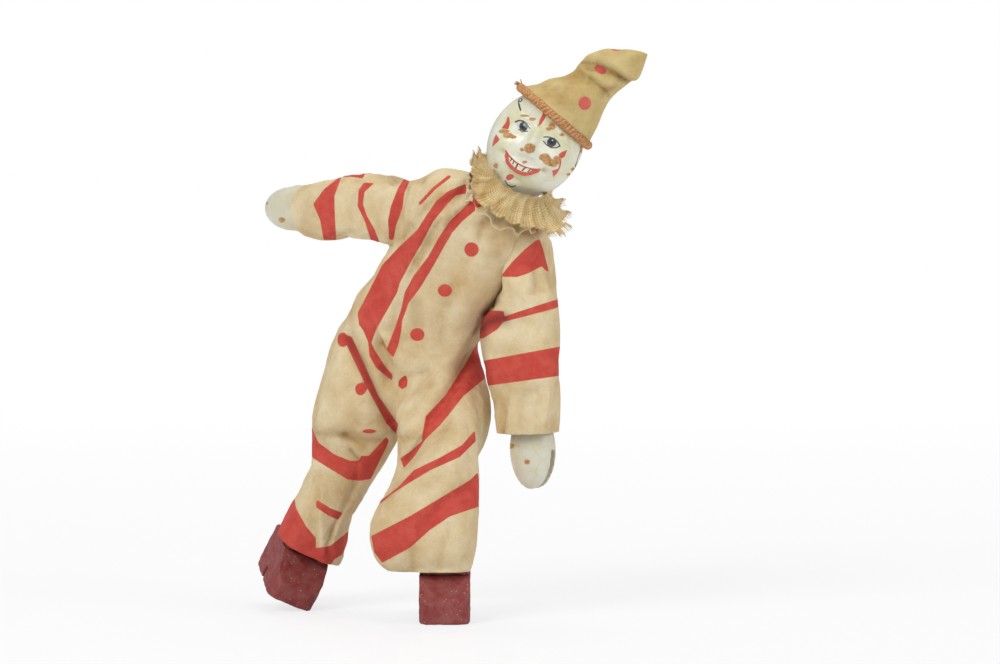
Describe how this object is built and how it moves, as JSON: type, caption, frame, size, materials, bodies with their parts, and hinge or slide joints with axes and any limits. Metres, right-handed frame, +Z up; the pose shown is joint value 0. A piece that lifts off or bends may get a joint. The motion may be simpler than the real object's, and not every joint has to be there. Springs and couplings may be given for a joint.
{
  "type": "jointed clown toy figure",
  "caption": "Jointed wooden clown toy strung on elastics, in a striped and dotted cotton suit with gauze ruff and soft bent hat, posed in mid step.",
  "frame": {"origin": "middle of the sole of the left shoe, which it stands on", "axes": "+Z up, the figure faces -Y, +X is the figure's own left"},
  "size_m": [0.1428, 0.0907, 0.2066],
  "materials": {
    "suit_cotton": "matte, aged, printed",
    "gauze": "matte, frayed",
    "hat_cloth": "matte",
    "twisted_cord": "matte",
    "elastic": "matte",
    "red_painted_wood": "worn gloss paint",
    "white_painted_wood": "crazed gloss paint",
    "bare_wood": "bare"
  },
  "bodies": {
    "torso": {"torso": "bare_wood", "hip_peg": "bare_wood", "neck_peg": "bare_wood", "arm_elastic": "elastic", "leg_elastic_left": "elastic", "leg_elastic_right": "elastic", "neck_elastic": "elastic", "suit_body": "suit_cotton", "neck_frill": "suit_cotton", "gauze_ruff": "gauze"},
    "neck_ball": {"neck_ball": "bare_wood"},
    "head": {"head_back": "white_painted_wood", "face_front": "white_painted_wood", "crown_peg": "bare_wood", "hat": "hat_cloth", "hat_trim": "twisted_cord"},
    "shoulder_left": {"shoulder_bead_left": "bare_wood"},
    "upper_arm_left": {"upper_arm_left": "bare_wood", "sleeve_upper_left": "suit_cotton"},
    "forearm_left": {"forearm_hand_left": "white_painted_wood", "forearm_peg_left": "bare_wood", "sleeve_lower_left": "suit_cotton"},
    "hip_left": {"hip_bead_left": "bare_wood"},
    "thigh_left": {"thigh_left": "bare_wood", "trouser_upper_left": "suit_cotton"},
    "shin_left": {"shin_left": "bare_wood", "shin_peg_left": "bare_wood", "ankle_dowel_left": "bare_wood", "shoe_left": "red_painted_wood", "trouser_lower_left": "suit_cotton"},
    "shoulder_right": {"shoulder_bead_right": "bare_wood"},
    "upper_arm_right": {"upper_arm_right": "bare_wood", "sleeve_upper_right": "suit_cotton"},
    "forearm_right": {"forearm_hand_right": "white_painted_wood", "forearm_peg_right": "bare_wood", "sleeve_lower_right": "suit_cotton"},
    "hip_right": {"hip_bead_right": "bare_wood"},
    "thigh_right": {"thigh_right": "bare_wood", "trouser_upper_right": "suit_cotton"},
    "shin_right": {"shin_right": "bare_wood", "shin_peg_right": "bare_wood", "ankle_dowel_right": "bare_wood", "shoe_right": "red_painted_wood", "trouser_lower_right": "suit_cotton"}
  },
  "joints": [
    {"name": "neck_nod", "type": "hinge", "parent": "torso", "child": "neck_ball", "pos_m": [0.0211, -0.00473, 0.15367], "axis": [0.8182, -0.2106, -0.535], "range_deg": [-15, 25], "deforming": ["neck_elastic", "gauze_ruff", "neck_frill"]},
    {"name": "neck_turn", "type": "hinge", "parent": "neck_ball", "child": "head", "pos_m": [0.0211, -0.00473, 0.15367], "axis": [0.5072, -0.1736, 0.8441], "range_deg": [-60, 60]},
    {"name": "shoulder_swing_left", "type": "hinge", "parent": "torso", "child": "shoulder_left", "pos_m": [0.03034, 0.0016, 0.13571], "axis": [0.8942, 0, -0.4478], "range_deg": [-80, 50]},
    {"name": "arm_raise_left", "type": "hinge", "parent": "shoulder_left", "child": "upper_arm_left", "pos_m": [0.03034, 0.0016, 0.13571], "axis": [0, -1, 0], "range_deg": [-8, 80], "deforming": ["sleeve_upper_left", "arm_elastic", "suit_body"]},
    {"name": "elbow_left", "type": "hinge", "parent": "upper_arm_left", "child": "forearm_left", "pos_m": [0.03107, 0.0016, 0.10072], "axis": [-0.9061, 0.4226, -0.019], "range_deg": [0, 90]},
    {"name": "shoulder_swing_right", "type": "hinge", "parent": "torso", "child": "shoulder_right", "pos_m": [0.00119, 0.0016, 0.15031], "axis": [0.8942, 0, -0.4478], "range_deg": [-50, 50]},
    {"name": "arm_raise_right", "type": "hinge", "parent": "shoulder_right", "child": "upper_arm_right", "pos_m": [0.00119, 0.0016, 0.15031], "axis": [0.387, 0.5029, 0.7728], "range_deg": [-30, 40], "deforming": ["sleeve_upper_right"]},
    {"name": "elbow_right", "type": "hinge", "parent": "upper_arm_right", "child": "forearm_right", "pos_m": [-0.02539, 0.02433, 0.14883], "axis": [-0.0558, 0, 0.9984], "range_deg": [0, 90]},
    {"name": "hip_swing_left", "type": "hinge", "parent": "torso", "child": "hip_left", "pos_m": [-0.0012, 0.03024, 0.09127], "axis": [0.8942, 0, -0.4478], "range_deg": [-4, 85]},
    {"name": "leg_spread_left", "type": "hinge", "parent": "hip_left", "child": "thigh_left", "pos_m": [-0.0012, 0.03024, 0.09127], "axis": [0.3279, -0.681, 0.6548], "range_deg": [0, 15], "deforming": ["trouser_upper_left", "leg_elastic_left"]},
    {"name": "knee_left", "type": "hinge", "parent": "thigh_left", "child": "shin_left", "pos_m": [0, 0.00075, 0.06], "axis": [1, 0, 0], "range_deg": [-43, 45]},
    {"name": "hip_swing_right", "type": "hinge", "parent": "torso", "child": "hip_right", "pos_m": [-0.01551, 0.03024, 0.09843], "axis": [0.8942, 0, -0.4478], "range_deg": [-45, 40]},
    {"name": "leg_spread_right", "type": "hinge", "parent": "hip_right", "child": "thigh_right", "pos_m": [-0.01551, 0.03024, 0.09843], "axis": [0.0234, 0.9986, 0.0468], "range_deg": [0, 35], "deforming": ["trouser_upper_right", "leg_elastic_right"]},
    {"name": "knee_right", "type": "hinge", "parent": "thigh_right", "child": "shin_right", "pos_m": [-0.03331, 0.03249, 0.05936], "axis": [0.8846, 0.2585, -0.3882], "range_deg": [-8, 80]}
  ]
}
